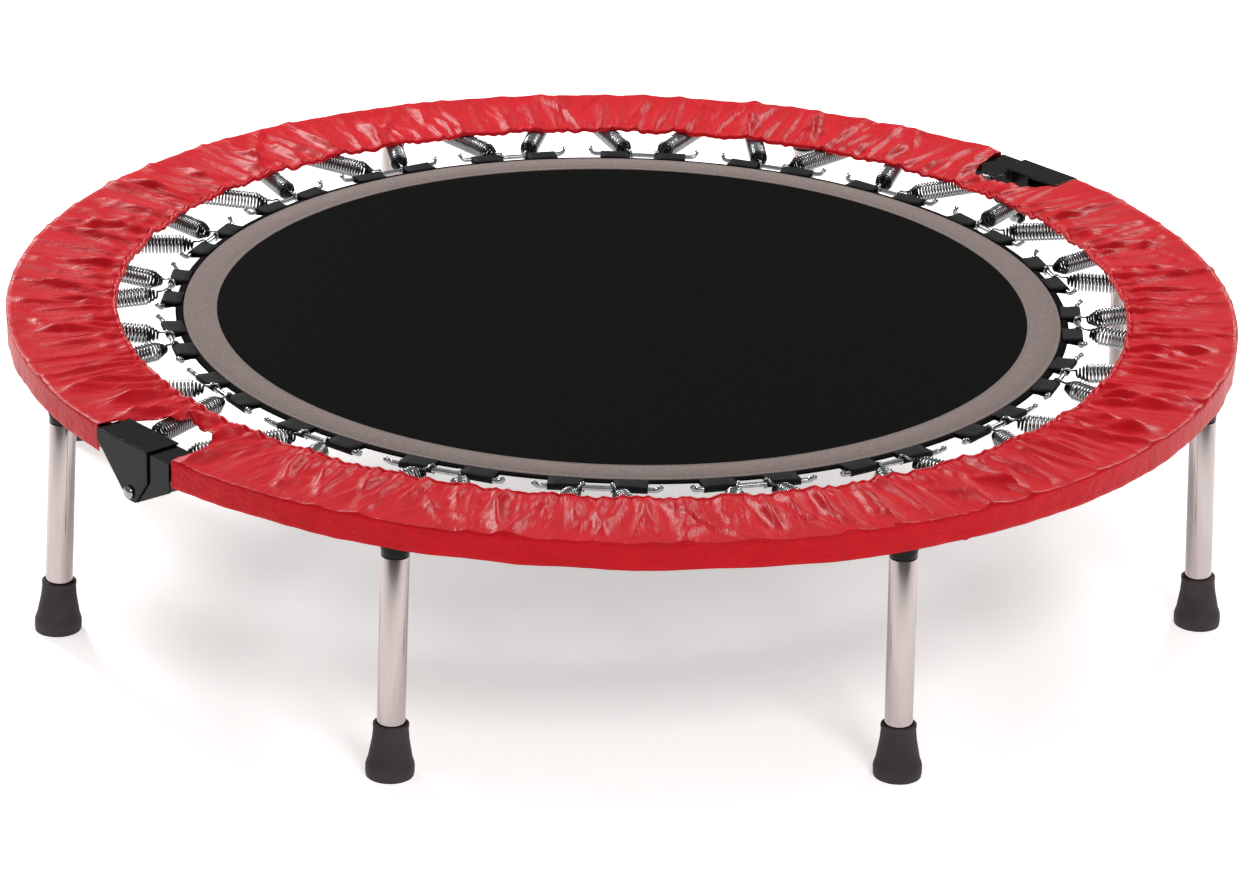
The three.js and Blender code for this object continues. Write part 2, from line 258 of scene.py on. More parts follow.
def woven_tape(name, base, rib_scale, roughness=0.85):
    """Woven polyester tape: matte, with ribs across its length."""
    material, tree, shader = start_material(name, base, Roughness=roughness, Specular_IOR_Level=0.12)
    place = object_place(tree)
    ribs = node(tree, "ShaderNodeTexWave", [("Vector", place)], wave_type="RINGS", rings_direction="Z",
                Scale=rib_scale, Distortion=0.4)
    vary_colour(tree, shader, clouds(tree, place, 420, 4), 0.3, 0.75, shade(base, 0.8), shade(base, 1.15))
    bump(tree, shader, ribs.outputs["Fac"], 0.4, 0.5 * MM)
    return material


def powder_coat():
    """Gloss black powder coat baked on steel: fine orange peel under a clear shine."""
    material, tree, shader = start_material(
        "gloss_powder_coat", tuple(colours().coat), Roughness=0.28, Specular_IOR_Level=0.1,
        Coat_Weight=0.12, Coat_Roughness=0.06)
    place = object_place(tree)
    vary_roughness(tree, shader, clouds(tree, place, 60, 8), 0.12, 0.3)
    bump(tree, shader, clouds(tree, place, 520, 2), 0.12, 0.4 * MM)
    return material


def chrome_plate():
    """Bright chrome over drawn steel tube: mirror-like, with faint polishing lines."""
    base = tuple(colours().chrome)
    material, tree, shader = start_material("bright_chrome_plate", base, Roughness=0.16, Metallic=1.0)
    lines = node(tree, "ShaderNodeMapping", [("Vector", object_place(tree))], Scale=(900, 900, 14))
    polish = clouds(tree, lines.outputs["Vector"], 1, 3)
    vary_roughness(tree, shader, polish, 0.06, 0.18)
    vary_colour(tree, shader, polish, 0.3, 0.7, shade(base, 0.9), base)
    return material


def spring_wire():
    """Galvanised spring wire: bright, slightly cloudy zinc, with painted shade on the inner side of the
    coils.
    """
    base = tuple(colours().wire)
    material, tree, shader = start_material("galvanised_wire", base, Roughness=0.22, Metallic=1.0)
    cloud = clouds(tree, object_place(tree), 140, 5)
    # Painted shade: the inner side of each coil is coloured near black, standing in for the shade between the
    # turns
    inside = node(tree, "ShaderNodeAttribute", attribute_name="inside").outputs["Fac"]
    painted_coil_shade = node(tree, "ShaderNodeMix", [("Factor", inside)], data_type="RGBA")
    tree.links.new(ramp(tree, cloud, 0.3, 0.7, shade(base, 0.72), base), painted_coil_shade.inputs["A"])
    painted_coil_shade.inputs["B"].default_value = (*shade(base, 0.03), 1)
    tree.links.new(painted_coil_shade.outputs["Result"], shader.inputs["Base Color"])
    vary_roughness(tree, shader, cloud, 0.16, 0.34)
    return material


def moulded_rubber():
    """Moulded rubber: matte, with a fine grain and dusty high spots."""
    base = tuple(colours().rubber)
    material, tree, shader = start_material(
        "moulded_rubber", base, Roughness=0.66, Specular_IOR_Level=0.35)
    place = object_place(tree)
    vary_colour(tree, shader, clouds(tree, place, 45, 6), 0.35, 0.75, shade(base, 0.8), shade(base, 1.25))
    bump(tree, shader, clouds(tree, place, 700, 4), 0.25, 0.4 * MM)
    return material


MAKERS = {
    "cover": woven_nylon,
    "mat": woven_mat,
    "border": lambda: woven_tape("woven_border_tape", tuple(colours().border), 210),
    "webbing": lambda: woven_tape("polyester_webbing", tuple(colours().webbing), 150, 0.7),
    "coat": powder_coat,
    "chrome": chrome_plate,
    "wire": spring_wire,
    "rubber": moulded_rubber,
}
made_materials = {}


def finish_of(kind):
    """The material of that kind, made once."""
    if kind not in made_materials:
        made_materials[kind] = MAKERS[kind]()
    return made_materials[kind]


# ---------------------------------------------------------------- mesh helpers

def to_object(bm, name, kind, smooth=True):
    """Turns a bmesh into an object at the origin, with its material."""
    bmesh.ops.remove_doubles(bm, verts=bm.verts, dist=WELD)
    bmesh.ops.recalc_face_normals(bm, faces=bm.faces)
    mesh = bpy.data.meshes.new(name)
    bm.to_mesh(mesh)
    bm.free()
    for face in mesh.polygons:
        face.use_smooth = smooth
    mesh.materials.append(finish_of(kind))
    made = bpy.data.objects.new(name, mesh)
    bpy.context.scene.collection.objects.link(made)
    return made


def apply_modifiers(made):
    """Replaces the mesh by its evaluated one, so that no modifier is left."""
    bpy.context.view_layer.update()
    result = bpy.data.meshes.new_from_object(made.evaluated_get(bpy.context.evaluated_depsgraph_get()))
    made.modifiers.clear()
    made.data = result


def thicken(made, thickness, offset):
    solid = made.modifiers.new("thickness", "SOLIDIFY")
    solid.thickness = thickness
    solid.offset = offset
    apply_modifiers(made)


def edges_of(verts):
    """The edges that meet at these vertices, each once and always in the same order."""
    return list(dict.fromkeys(edge for vert in verts for edge in vert.link_edges))


def extruded(bm, edges):
    """Extrudes a line of edges in place; returns its new vertices and edges."""
    out = bmesh.ops.extrude_edge_only(bm, edges=edges)["geom"]
    verts = [item for item in out if isinstance(item, bmesh.types.BMVert)]
    return verts, [item for item in out if isinstance(item, bmesh.types.BMEdge)
                   and all(vert in verts for vert in item.verts)]


def add_ring(bm, centre, direction, radius, sides):
    """A circle of edges round a point of a path; returns its vertices."""
    turn = direction.to_track_quat("Z", "Y").to_matrix().to_4x4()
    made = bmesh.ops.create_circle(
        bm, segments=sides, radius=radius, matrix=Matrix.Translation(centre) @ turn)
    return made["verts"]


def sweep(bm, points, radius, sides=8):
    """A round wire along a path, with closed ends."""
    points = [Vector(p) for p in points]
    heading = (points[1] - points[0]).normalized()
    ring = add_ring(bm, points[0], heading, radius, sides)
    edges = edges_of(ring)
    bmesh.ops.contextual_create(bm, geom=edges)
    for i in range(1, len(points)):
        before = points[i] - points[i - 1]
        after = points[min(i + 1, len(points) - 1)] - points[max(i - 1, 0)]
        turn = heading.rotation_difference(after).to_matrix()
        heading = after.normalized()
        verts, edges = extruded(bm, edges)
        bmesh.ops.translate(bm, verts=verts, vec=before)
        bmesh.ops.rotate(bm, verts=verts, cent=points[i], matrix=turn)
    bmesh.ops.contextual_create(bm, geom=edges)


def line_of(bm, points):
    """A line of edges through points; returns its vertices and edges."""
    verts = [bm.verts.new(point) for point in points]
    return verts, [bm.edges.new(pair) for pair in zip(verts, verts[1:])]


def spun(bm, verts, edges, steps, centre=(0, 0, 0), axis=(0, 0, 1)):
    """Spins a line or a loop once round an axis, Z by default, and welds it."""
    bmesh.ops.spin(bm, geom=verts + edges, cent=centre, axis=axis, angle=math.tau, steps=steps,
                   use_merge=True)
    bmesh.ops.remove_doubles(bm, verts=bm.verts, dist=WELD)


def turned(bm, outline, axis_from, axis, sides):
    """Spins [radius, distance] points about an axis line; the distance runs along the axis."""
    place = Matrix.Translation(axis_from) @ axis.to_track_quat("Z", "Y").to_matrix().to_4x4()
    points = [place @ Vector((r, 0, along)) for r, along in outline]
    spun(bm, *line_of(bm, points), sides, axis_from, axis)


def leg_ends(name):
    """The top and bottom centres of a leg tube, and its outward direction, from its joint."""
    joint = next(j for j in frame["joints"] if j["name"] == f"{name}_unscrew")
    axis = Vector(joint["axis"]).normalized()
    places = np.array([v.co for v in NODES[name].data.vertices])
    along = places @ np.array(axis)
    top = Vector(places[along < along.min() + 1e-4].mean(0))
    bottom = Vector(places[along > along.max() - 1e-4].mean(0))
    return top, bottom, axis


def half_of_angle(angle):
    return REAR if math.sin(angle) > 0 else FRONT


# ---------------------------------------------------------------- frame

# The CAD's tube has 12 flats, so its box reaches this far from its centre line.
CAD_REACH = math.cos(math.pi / 12) * 12.7 * MM
TUBE_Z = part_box("frame_tube_rear")[1].z - CAD_REACH
TUBE_CENTRE = across("frame_tube_rear") - CAD_REACH
TUBE_WALL = 1.6 * MM
JOINT_GAP = 0.4 * MM
STUB_RADIUS = 13 * MM
STUD_RADIUS = 5 * MM
STUD_LENGTH = 42 * MM


def tube_half(side):
    """Half of the frame ring: a hollow tube spun round the centre, with the stubs for its legs."""
    bm = bmesh.new()
    outer = sizes().tube_diameter / 2
    middle = Vector((0, 0, TUBE_Z))
    start = Vector((TUBE_CENTRE, side * JOINT_GAP, TUBE_Z))
    place = Matrix.Translation(start) @ Matrix.Rotation(math.pi / 2, 4, "X")
    half_turn = math.pi - 2 * JOINT_GAP / TUBE_CENTRE
    for radius in (outer, outer - TUBE_WALL):
        circle = bmesh.ops.create_circle(bm, segments=28, radius=radius, matrix=place)["verts"]
        bmesh.ops.spin(bm, geom=circle + edges_of(circle), cent=middle, axis=(0, 0, side),
                       angle=half_turn, steps=120)
    bmesh.ops.remove_doubles(bm, verts=bm.verts, dist=WELD)
    open_edges = [edge for edge in bm.edges if edge.is_boundary]
    for sign in (1, -1):
        end = [edge for edge in open_edges if all(v.co.x * sign > 0 for v in edge.verts)]
        bmesh.ops.bridge_loops(bm, edges=end)
    for name in LEGS:
        top, _, axis = leg_ends(name)
        if top.y * side < 0:
            continue
        radius, ease, weld = STUB_RADIUS, 0.8 * MM, 1.2 * MM
        centre_line = top - axis * ((TUBE_Z - top.z) / -axis.z)
        low = (top - centre_line).length - 0.3 * MM
        tip = low + STUD_LENGTH
        turned(bm, [(radius, outer * 0.3), (radius + weld, outer * 0.92), (radius, outer + 2 * weld),
                    (radius, low - ease), (radius - ease, low), (STUD_RADIUS, low),
                    (STUD_RADIUS, tip - 2 * MM), (3.8 * MM, tip), (0, tip)],
               centre_line, axis, 36)
    return bm


class TRAMPOLINE_OT_frame(bpy.types.Operator):
    """Build the two halves of the tube ring, with the stubs and studs for the legs"""

    bl_idname = "trampoline.frame"
    bl_label = "Frame Tubes"

    def execute(self, context):
        for name, side, body in (("rear", 1, REAR), ("front", -1, FRONT)):
            made = to_object(tube_half(side), f"tube_ring_{name}", "coat")
            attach(made, body)
            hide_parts(f"frame_tube_{name}")
        return {"FINISHED"}


# ---------------------------------------------------------------- hinges

def folded_plate(node_name, made_name, body):
    """A CAD bracket with its sheet's edges rounded."""
    bm = bmesh.new()
    bm.from_mesh(NODES[node_name].data)
    bmesh.ops.remove_doubles(bm, verts=bm.verts, dist=1e-5)
    bmesh.ops.dissolve_limit(bm, angle_limit=math.radians(2), verts=bm.verts, edges=bm.edges)
    made = to_object(bm, made_name, "coat", smooth=False)
    bevel = made.modifiers.new("rounded", "BEVEL")
    bevel.width = 0.95 * MM
    bevel.segments = 3
    bevel.limit_method = "ANGLE"
    bevel.angle_limit = math.radians(35)
    bevel.harden_normals = True
    apply_modifiers(made)
    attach(made, body)
    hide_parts(node_name)


def bolt_mesh(low, high, outward):
    """A dome-headed pivot bolt and its shank, along X from the nut's end to the head."""
    bm = bmesh.new()
    head_radius = (high.z - low.z) / 2
    shank = 4 * MM
    length = high.x - low.x
    axis = Vector((outward, 0, 0))
    start = Vector((low.x if outward > 0 else high.x, PIVOT.y, PIVOT.z))
    head = 4.5 * MM
    dome = [(head_radius * math.cos(a), length - head + 0.8 * MM + (head - 0.8 * MM) * math.sin(a))
            for a in [math.radians(d) for d in range(0, 91, 10)]]
    turned(bm, [(0, 0), (shank - 0.8 * MM, 0), (shank, 0.8 * MM), (shank, length - head),
                (head_radius - 0.4 * MM, length - head), (head_radius, length - head + 0.4 * MM)] + dome,
           start, axis, 32)
    return bm


def nut_mesh(low, high):
    """A hexagon nut with chamfered corners."""
    bm = bmesh.new()
    radius = (high.z - low.z) / 2
    thickness = high.x - low.x
    centre = Vector(((low.x + high.x) / 2, PIVOT.y, PIVOT.z))
    turn = Matrix.Rotation(math.pi / 2, 4, "Y")
    bmesh.ops.create_cone(bm, segments=6, radius1=radius, radius2=radius, depth=thickness, cap_ends=True,
                          matrix=Matrix.Translation(centre) @ turn)
    caps = [face for face in bm.faces if len(face.verts) == 6]
    bmesh.ops.inset_region(bm, faces=caps, thickness=0.9 * MM, depth=0)
    bmesh.ops.bevel(bm, geom=list({e for f in bm.faces for e in f.edges}), offset=0.35 * MM, segments=2,
                    profile=0.5, affect="EDGES", material=-1)
    return bm


class TRAMPOLINE_OT_hinges(bpy.types.Operator):
    """Build the fold hinges: brackets, pivot bolts and nuts"""

    bl_idname = "trampoline.hinges"
    bl_label = "Fold Hinges"

    def execute(self, context):
        for end, outward in (("left", -1), ("right", 1)):
            outer_body, inner_body = (REAR, FRONT) if end == "left" else (FRONT, REAR)
            folded_plate(f"hinge_outer_{end}", f"outer_bracket_{end}", outer_body)
            folded_plate(f"hinge_inner_{end}", f"inner_bracket_{end}", inner_body)
            bolt = bolt_mesh(*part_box(f"hinge_bolt_{end}"), outward)
            nut = nut_mesh(*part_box(f"hinge_nut_{end}"))
            for part, bm in (("bolt", bolt), ("nut", nut)):
                cad = f"hinge_{part}_{end}"
                made = to_object(bm, f"pivot_{part}_{end}", "wire", part == "bolt")
                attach(made, outer_body)
                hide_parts(cad)
        return {"FINISHED"}


# ---------------------------------------------------------------- legs and feet

def leg_mesh(top, bottom, axis):
    """A chromed tube with its ends eased, open at the lower end inside the foot."""
    bm = bmesh.new()
    radius = 13 * MM
    length = (bottom - top).length
    bore = 5.4 * MM
    wall = 1.5 * MM
    ease = 0.7 * MM
    nut = 22 * MM
    outline = [(bore, 0), (radius - ease, 0), (radius - 0.2 * MM, 0.2 * MM), (radius, ease),
               (radius, length - ease), (radius - ease, length), (radius - wall, length),
               (radius - wall, nut), (bore, nut), (bore, 0)]
    turned(bm, outline, top, axis, 56)
    return bm


def foot_mesh(bottom, axis):
    """A flared rubber foot: rolled lip, waist, skirt and a flat sole."""
    bm = bmesh.new()
    sole_centre = bottom + axis * (bottom.z / -axis.z)
    along = (sole_centre - bottom).length
    height = 51 * MM
    top = along - height
    base = 22.5 * MM
    neck = 16.5 * MM
    hole = 13.3 * MM
    outline = [(hole, along - 9 * MM), (hole, top + 0.8 * MM), (hole + 0.8 * MM, top),
               (neck - 0.8 * MM, top), (neck, top + 0.8 * MM), (neck + 0.1 * MM, top + 3.4 * MM),
               (neck - 0.4 * MM, top + 4 * MM), (neck - 0.3 * MM, top + 6 * MM),
               (neck + 0.6 * MM, top + 16 * MM), (neck + 2.4 * MM, top + 26 * MM),
               (base - 2.2 * MM, top + 34 * MM), (base - 0.8 * MM, top + 38 * MM),
               (base, top + 41 * MM), (base, along - 2.5 * MM), (base - 0.5 * MM, along - 0.7 * MM),
               (base - 0.5 * MM, along + 3 * MM), (0, along + 3 * MM)]
    turned(bm, outline, bottom, axis, 64)
    cut = bmesh.ops.bisect_plane(bm, geom=bm.verts[:] + bm.edges[:] + bm.faces[:], plane_co=(0, 0, 0),
                                 plane_no=(0, 0, -1), clear_outer=True)
    rim = [item for item in cut["geom_cut"] if isinstance(item, bmesh.types.BMEdge)]
    bmesh.ops.contextual_create(bm, geom=rim)
    inner = [edge for edge in bm.edges if edge.is_boundary]
    bmesh.ops.contextual_create(bm, geom=inner)
    return bm


class TRAMPOLINE_OT_legs(bpy.types.Operator):
    """Build the chromed legs and their rubber feet"""

    bl_idname = "trampoline.legs"
    bl_label = "Legs and Feet"

    def execute(self, context):
        for name in LEGS:
            top, bottom, axis = leg_ends(name)
            foot = name.replace("leg", "foot")
            leg = to_object(leg_mesh(top, bottom, axis), f"chrome_{name}", "chrome")
            sole = to_object(foot_mesh(bottom, axis), f"rubber_{foot}", "rubber")
            for made, cad, slot in ((leg, name, "leg_chrome"), (sole, foot, "rubber")):
                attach(made, f"{name}_set")
                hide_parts(cad)
                ease_edges(made, 40)
        return {"FINISHED"}


def ease_edges(made, degrees):
    """Keeps hard edges sharper than this angle and smooths the rest."""
    made.data.set_sharp_from_angle(angle=math.radians(degrees))


# ---------------------------------------------------------------- springs

MAT_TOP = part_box("mat_rear")[1].z
SPRING_Z = (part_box("mat_rear")[0].z + MAT_TOP) / 2
SPREAD = math.radians(6.8)
EYE_OFFSET = 13.5 * MM
WIRE = 1.15 * MM
ROD = 2.5 * MM
ROD_LENGTH = 114 * MM


def coil_path(start, end):
    """Centre line of a barrel spring from its eye on the rod to its hook on the frame."""
    run = end - start
    length = run.length
    along = run.normalized()
    aside = along.cross(Vector((0, 0, 1))).normalized()
    up = aside.cross(along)
    radius = sizes().coil_diameter / 2 - WIRE
    turns = sizes().coil_turns
    steps = turns * 12
    first, last = 11 * MM, length - 16 * MM
    points = []
    eye = 5 * MM
    # Its eye on the rod
    for i in range(9):
        angle = math.radians(250 - 210 * i / 8)
        points.append(start + along * (eye * math.cos(angle) + 1 * MM) + up * (eye * math.sin(angle)))
    # Its coils, narrower at both ends
    for i in range(steps + 1):
        share = i / steps
        swell = min(1, 0.35 + 5.5 * min(share, 1 - share))
        angle = math.tau * turns * share + math.pi / 2
        centre = start + along * (first + (last - first) * share)
        points.append(centre + (up * math.sin(angle) + aside * math.cos(angle)) * radius * swell)
    # Its hook on the frame
    for i in range(7):
        angle = math.radians(60 + 200 * i / 6)
        back, lift = 6 * MM + 4 * MM * math.cos(angle), eye * math.sin(angle) + 1 * MM
        points.append(end - along * back + up * lift)
    return points


def mark_painted_coil_shade(inside, verts, start, end):
    """Marks how far each vertex of a coil lies on the coil's inner side, from 0 to 1: the weight of the
    painted shade between the turns.
    """
    along = (end - start).normalized()
    middle, depth = sizes().coil_diameter / 2 - WIRE, 0.6 * WIRE
    for vert in verts:
        reach = (vert.co - start).dot(along)
        if 9 * MM < reach < (end - start).length - 14 * MM:
            away = (vert.co - start - along * reach).length
            vert[inside] = min(1, max(0, 0.74 + (middle - away) / (2 * depth)))


def spring_pair_mesh(hook_radius):
    """Two springs in a V from one link rod, at angle 0."""
    bm = bmesh.new()
    # The inside layer carries the painted shade on the inner side of each coil
    inside = bm.verts.layers.float.new("inside")
    rod_x = sizes().rod_radius
    half = ROD_LENGTH / 2
    hook = 5 * MM
    bend = [(rod_x + hook * out, along - half, SPRING_Z + hook * lift)
            for out, along, lift in ((1.1, -1 * MM, 1), (0.5, 0, 0.6), (0.1, 2 * MM, 0.15), (0, 5 * MM, 0))]
    middle = [(rod_x, y, SPRING_Z) for y in np.linspace(-half + 10 * MM, half - 10 * MM, 8)]
    other = [(x, -y, z) for x, y, z in reversed(bend)]
    sweep(bm, bend + middle + other, ROD, 10)
    for side in (-1, 1):
        start = Vector((rod_x, side * EYE_OFFSET, SPRING_Z))
        end = Vector((hook_radius * math.cos(SPREAD), side * hook_radius * math.sin(SPREAD), SPRING_Z))
        count = len(bm.verts)
        sweep(bm, coil_path(start, end), WIRE, 8)
        mark_painted_coil_shade(inside, bm.verts[count:], start, end)
    return bm


class TRAMPOLINE_OT_springs(bpy.types.Operator):
    """Build the link rods and the coil springs that hold the mat"""

    bl_idname = "trampoline.springs"
    bl_label = "Springs and Link Rods"

    def execute(self, context):
        hook_radius = TUBE_CENTRE - sizes().tube_diameter / 2
        unit = to_object(spring_pair_mesh(hook_radius), "spring_unit", "wire")
        for i in range(ANCHORS):
            angle = math.tau * (i + 0.5) / ANCHORS
            made = bpy.data.objects.new(f"springs_{i + 1:02d}", unit.data.copy())
            made.data.transform(Matrix.Rotation(angle, 4, "Z"))
            bpy.context.scene.collection.objects.link(made)
            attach(made, half_of_angle(angle))
            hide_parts(f"spring_pair_{i + 1:02d}")
        bpy.data.objects.remove(unit)
        return {"FINISHED"}


# ---------------------------------------------------------------- mat

FOLD_BAND = 47 * MM
MAT_STEPS = 360


def disc(bm, outline):
    """Spins [radius, height] points round Z; both ends may lie on the axis."""
    spun(bm, *line_of(bm, [(r, 0, z) for r, z in outline]), MAT_STEPS)


def blend_over_fold(made):
    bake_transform(made, FRONT, REAR, start=(0, -FOLD_BAND, 0), end=(0, FOLD_BAND, 0))


class TRAMPOLINE_OT_mat(bpy.types.Operator):
    """Build the woven mat, its border tape and the webbing tabs round the link rods"""

    bl_idname = "trampoline.mat"
    bl_label = "Jumping Mat"

    def execute(self, context):
        edge = sizes().mat_radius
        top = MAT_TOP
        under = top - 1.6 * MM
        radii = [edge * share for share in np.linspace(0, 0.992, 46)]
        outline = [(r, top) for r in radii] + [(edge, top - 0.8 * MM)] + [(r, under) for r in reversed(radii)]
        bm = bmesh.new()
        disc(bm, outline)
        mat = to_object(bm, "jumping_mat", "mat")
        tape = self.border_tape(top)
        tabs = self.webbing(top, edge)
        for made, slot in ((mat, "mat_fabric"), (tape, "border_tape"), (tabs, "mat_fabric")):
            blend_over_fold(made)
        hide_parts("mat_rear", "mat_front")
        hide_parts("mat_border_rear", "mat_border_front")
        return {"FINISHED"}

    def border_tape(self, top):
        inner, width = sizes().border_inner, 33 * MM
        high = top + 0.9 * MM
        groove = [inner + 3 * MM, inner + width - 3 * MM]
        outline = [(inner, top), (inner, high - 0.3 * MM), (inner + 0.5 * MM, high)]
        for r in groove:
            outline += [(r - 0.8 * MM, high), (r, high - 0.5 * MM), (r + 0.8 * MM, high)]
        outline += [(inner + width - 0.5 * MM, high), (inner + width, high - 0.3 * MM), (inner + width, top)]
        bm = bmesh.new()
        disc(bm, outline)
        return to_object(bm, "border_tape", "border")

    def webbing(self, top, edge):
        """Two tabs at each rod: flat on the mat, round the rod, and back under the mat."""
        bm = bmesh.new()
        rod_x = sizes().rod_radius
        half = 16 * MM
        loop = ROD + 0.5 * MM
        inside = edge - 7 * MM
        path = [(inside, top + 0.9 * MM), (edge, top + 0.7 * MM)]
        path += [(rod_x + loop * math.sin(a), SPRING_Z + loop * math.cos(a))
                 for a in [math.radians(d) for d in range(0, 181, 20)]]
        path += [(edge, top - 2.4 * MM), (inside, top - 2.6 * MM)]
        for i in range(ANCHORS):
            turn = Matrix.Rotation(math.tau * (i + 0.5) / ANCHORS, 4, "Z")
            for middle in (-30 * MM, 30 * MM):
                self.strap(bm, path, middle, half, turn)
        made = to_object(bm, "webbing_tabs", "webbing")
        thicken(made, 1.1 * MM, 0)
        return made

    def strap(self, bm, path, middle, half, turn):
        """One strip along an [x, z] path, extruded across its width."""
        wave = noise.noise(Vector((middle * 100, turn[0][0] * 9, turn[0][1] * 9)))
        _, edges = line_of(bm, [turn @ Vector((x, middle - half + wave * MM, z)) for x, z in path])
        for _ in range(4):
            moved, edges = extruded(bm, edges)
            bmesh.ops.translate(bm, verts=moved, vec=turn.to_3x3() @ Vector((0, half / 2, 0)))


# ---------------------------------------------------------------- spring cover

COVER_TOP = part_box("cover_rear")[1].z
SKIRT_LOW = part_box("cover_rear")[0].z
COVER_UNDER = MAT_TOP + 9 * MM         # top of the springs and the tube, where the cloth rests
COVER_STEPS = 1360
TOP_ROWS = 22
SETTLE_FRAMES = 9
HEM_Z = COVER_TOP - 3 * MM
NOTCH_LOW, NOTCH_HIGH = -52 * MM, 59 * MM
NOTCH_DEPTH = 75 * MM
SEAMS = [math.radians(a) for a in (20.3, 138.0, 258.3)]
PULLED_IN = 0.18                       # how much narrower the sewn strip is cut at the hem
LEAD_IN = 0.15                         # share of the width over which a fold rises
CASING_AT, CASING_WIDE, CASING_DEEP = 0.12, 0.035, 1.1 * MM     # stitched line beside the hem
HEM_RADIUS = 2.4 * MM

# Folds that run out from the elastic hem: how many, [least, most] height and half width in mm,
# the shares of the cover's width where they start and end, and how far they lean over that width
FOLDS = [
    (300, (2.4, 4.2), (2.6, 3.4), (-0.1, -0.06), (0.14, 0.34), 0.12),
    (190, (3.8, 6.4), (3.2, 5.0), (0.0, 0.03), (0.75, 1.15), 0.15),
    (90, (2.6, 5.0), (3.2, 4.6), (0.06, 0.3), (0.7, 1.05), 0.3),
    (34, (2.0, 4.0), (3.0, 4.4), (0.3, 0.55), (0.85, 1.05), 0.9),
    (20, (1.5, 3.0), (10.0, 16.0), (0.0, 0.1), (0.7, 0.97), 0.3),
]


def gathers(angles, shares):
    """Heights of the gathered folds at each [angle, share], in metres."""
    draw = random.Random(5)
    outer, inner = sizes().cover_radius, sizes().cover_inner
    radii = inner + (outer - inner) * shares
    heights = np.zeros(len(angles))
    for count, tall, wide, first, last, lean in FOLDS:
        for i in range(count):
            place = math.tau * (i + draw.uniform(-0.4, 0.4)) / count
            height, half = draw.uniform(*tall) * MM, draw.uniform(*wide) * MM
            start, end = draw.uniform(*first), draw.uniform(*last)
            slant, curl = draw.gauss(0, lean), draw.gauss(0, lean / 2)
            middle = place * radii + (slant * shares + curl * shares ** 2) * (outer - inner)
            around = math.tau * radii
            aside = np.remainder(angles * radii - middle + around / 2, around) - around / 2
            near = (np.abs(aside) < 5 * half) & (shares < end) & (shares >= start - LEAD_IN)
            run = (shares[near] - start) / (end - start)
            rise = np.maximum(0, 1 + run * (end - start) / LEAD_IN)
            fade = np.where(run < 0, rise, np.cos(run.clip(0, 1) * math.pi / 2) ** 0.5)
            side = half * np.where(aside[near] > 0, 1.5, 0.8) * (1 + 0.8 * run.clip(0, 1))
            low = 0.4 + 4 * (shares[near] - start).clip(0, LEAD_IN)
            fade *= np.where(shares[near] < start + LEAD_IN, low, 1)
            heights[near] += height * fade * np.exp(-(np.abs(aside[near]) / side) ** 1.6)
    return heights


def outward_from(place):
    return Vector((place.x, place.y, 0)).normalized()


def hem_drift(outward, height):
    """How far the gathered edge strays outwards."""
    return outward * (1.5 * MM * noise.noise(outward * 14) + 0.15 * height)


def notch_reach(away):
    """Radius of a notch's edge, at this share of its half width from its middle."""
    return sizes().cover_radius - NOTCH_DEPTH * (1 - away ** 4)


def hem_sag(angle):
    """How far the hem hangs down where no spring carries it."""
    pitch = math.tau / ANCHORS
    aside = abs(math.remainder(angle - pitch / 2, pitch))
    spring = math.radians(4.0)
    gap = abs(aside - spring) * sizes().cover_inner - 11 * MM
    return 1.8 * MM * min(1, max(0, gap / (9 * MM))) ** 1.5


def cover_profile():
    """[radius, height, share] points.

    The share is 0 at the inner hem, 1 at the crease and 2 at the skirt's edge.
    """
    outer, inner = sizes().cover_radius, sizes().cover_inner
    rest = COVER_TOP - 1.8 * MM
    points = []
    for share in np.linspace(0, 1, TOP_ROWS):
        lift = 2.2 * MM * math.sin(math.pi / 2 * min(1, share * 1.4))
        points.append((inner + (outer - 1.2 * MM - inner) * share, rest + lift, share))
    points.append((outer - 0.3 * MM, rest + 1.2 * MM, 1.02))
    for drop in np.linspace(0.1, 1.0, 8):
        points.append((outer, COVER_TOP + (SKIRT_LOW - COVER_TOP) * drop, 1 + drop))
    return points


def strip_mesh():
    """The cover as a plain ring, with each vertex's share kept in a layer."""
    bm = bmesh.new()
    share_of = bm.verts.layers.float.new("share")
    profile = cover_profile()
    verts, edges = line_of(bm, [(r, 0, z) for r, z, _ in profile])
    for vert, (_, _, share) in zip(verts, profile):
        vert[share_of] = share
    spun(bm, verts, edges, COVER_STEPS)
    strip = bm.loops.layers.uv.new("strip")
    outer, inner = sizes().cover_radius, sizes().cover_inner
    for face in bm.faces:
        middle = face.calc_center_median()
        centre = math.atan2(middle.y, middle.x)
        for loop in face.loops:
            aside = math.remainder(math.atan2(loop.vert.co.y, loop.vert.co.x) - centre, math.tau)
            loop[strip].uv = ((centre + aside) * outer, loop.vert[share_of] * (outer - inner))
    return bm


